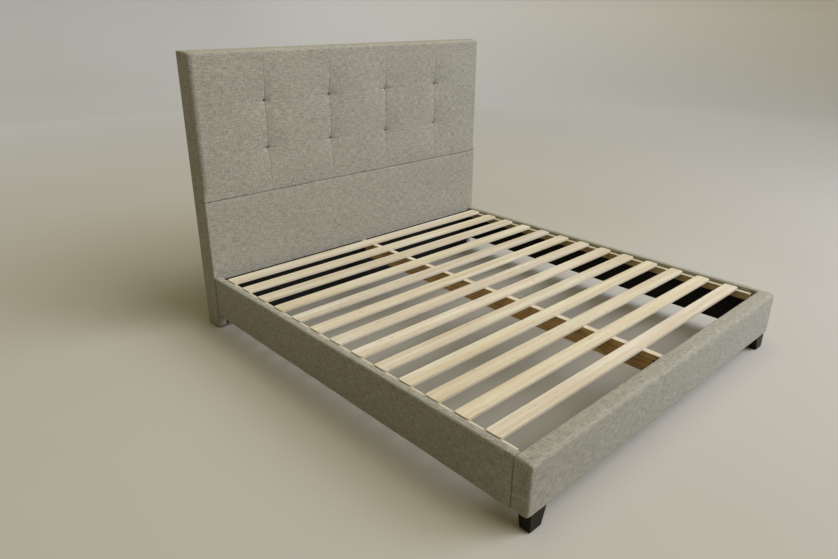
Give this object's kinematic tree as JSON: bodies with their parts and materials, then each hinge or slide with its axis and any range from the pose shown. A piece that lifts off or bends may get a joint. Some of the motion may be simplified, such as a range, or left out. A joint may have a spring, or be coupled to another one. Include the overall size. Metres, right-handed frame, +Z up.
{
  "type": "upholstered bed frame",
  "caption": "Upholstered king-size bed frame with a tall tufted headboard, padded side rails and footboard, and a loose slat deck on ledges and a centre beam.",
  "frame": {"origin": "on the floor, under the middle of the whole bed", "axes": "+Z up, +Y towards the headboard, -Y towards the foot, +X to the right seen from the foot"},
  "size_m": [2.032, 2.228, 1.438],
  "materials": {
    "woven_cover": "matte",
    "foam": "matte",
    "black_lining": "matte",
    "back_cloth": "matte",
    "dark_leg": "satin",
    "slat_pine": "matte",
    "ledge_pine": "matte",
    "frame_timber": "matte",
    "plywood": "matte",
    "glide_plastic": "matte",
    "twine": "matte",
    "black_steel": "satin",
    "zinc_steel": "satin"
  },
  "bodies": {
    "frame": {"beam_shoe_screws": "zinc_steel", "beam_shoes": "black_steel", "bracket_bolts": "zinc_steel", "bracket_nuts": "zinc_steel", "centre_beam": "ledge_pine", "foot_corner_brackets": "black_steel", "foot_cover": "woven_cover", "foot_foam": "foam", "foot_front_board": "frame_timber", "foot_inner_board": "frame_timber", "foot_lining": "black_lining", "foot_spacer_blocks": "frame_timber", "head_corner_brackets": "black_steel", "headboard_back_cloth": "back_cloth", "headboard_bottom_rail": "frame_timber", "headboard_glides": "glide_plastic", "headboard_left_stile": "frame_timber", "headboard_lining": "black_lining", "headboard_lower_cover": "woven_cover", "headboard_lower_foam": "foam", "headboard_lower_panel": "plywood", "headboard_mid_rail": "frame_timber", "headboard_packing_strips": "frame_timber", "headboard_right_stile": "frame_timber", "headboard_studs": "frame_timber", "headboard_top_rail": "frame_timber", "headboard_upper_cover": "woven_cover", "headboard_upper_foam": "foam", "headboard_upper_panel": "plywood", "ledge_screws": "zinc_steel", "left_leg": "dark_leg", "left_rail_board": "frame_timber", "left_rail_cover": "woven_cover", "left_rail_foam": "foam", "left_rail_lining": "black_lining", "left_slat_ledge": "ledge_pine", "leg_glides": "glide_plastic", "leg_hanger_bolts": "zinc_steel", "leg_plates": "black_steel", "right_leg": "dark_leg", "right_rail_board": "frame_timber", "right_rail_cover": "woven_cover", "right_rail_foam": "foam", "right_rail_lining": "black_lining", "right_slat_ledge": "ledge_pine", "tuft_ties": "twine", "tuft_washers": "zinc_steel"},
    "slat_01_lift": {"slat_01": "slat_pine"},
    "slat_02_lift": {"slat_02": "slat_pine"},
    "slat_03_lift": {"slat_03": "slat_pine"},
    "slat_04_lift": {"slat_04": "slat_pine"},
    "slat_05_lift": {"slat_05": "slat_pine"},
    "slat_06_lift": {"slat_06": "slat_pine"},
    "slat_07_lift": {"slat_07": "slat_pine"},
    "slat_08_lift": {"slat_08": "slat_pine"},
    "slat_09_lift": {"slat_09": "slat_pine"},
    "slat_10_lift": {"slat_10": "slat_pine"},
    "slat_11_lift": {"slat_11": "slat_pine"},
    "slat_12_lift": {"slat_12": "slat_pine"},
    "slat_13_lift": {"slat_13": "slat_pine"}
  },
  "joints": [
    {"name": "slat_01_lift_out", "type": "slide", "parent": "frame", "child": "slat_01_lift", "axis": [0, 0, 1], "range_m": [0, 0.06]},
    {"name": "slat_02_lift_out", "type": "slide", "parent": "frame", "child": "slat_02_lift", "axis": [0, 0, 1], "range_m": [0, 0.06]},
    {"name": "slat_03_lift_out", "type": "slide", "parent": "frame", "child": "slat_03_lift", "axis": [0, 0, 1], "range_m": [0, 0.06]},
    {"name": "slat_04_lift_out", "type": "slide", "parent": "frame", "child": "slat_04_lift", "axis": [0, 0, 1], "range_m": [0, 0.06]},
    {"name": "slat_05_lift_out", "type": "slide", "parent": "frame", "child": "slat_05_lift", "axis": [0, 0, 1], "range_m": [0, 0.06]},
    {"name": "slat_06_lift_out", "type": "slide", "parent": "frame", "child": "slat_06_lift", "axis": [0, 0, 1], "range_m": [0, 0.06]},
    {"name": "slat_07_lift_out", "type": "slide", "parent": "frame", "child": "slat_07_lift", "axis": [0, 0, 1], "range_m": [0, 0.06]},
    {"name": "slat_08_lift_out", "type": "slide", "parent": "frame", "child": "slat_08_lift", "axis": [0, 0, 1], "range_m": [0, 0.06]},
    {"name": "slat_09_lift_out", "type": "slide", "parent": "frame", "child": "slat_09_lift", "axis": [0, 0, 1], "range_m": [0, 0.06]},
    {"name": "slat_10_lift_out", "type": "slide", "parent": "frame", "child": "slat_10_lift", "axis": [0, 0, 1], "range_m": [0, 0.06]},
    {"name": "slat_11_lift_out", "type": "slide", "parent": "frame", "child": "slat_11_lift", "axis": [0, 0, 1], "range_m": [0, 0.06]},
    {"name": "slat_12_lift_out", "type": "slide", "parent": "frame", "child": "slat_12_lift", "axis": [0, 0, 1], "range_m": [0, 0.06]},
    {"name": "slat_13_lift_out", "type": "slide", "parent": "frame", "child": "slat_13_lift", "axis": [0, 0, 1], "range_m": [0, 0.06]}
  ]
}
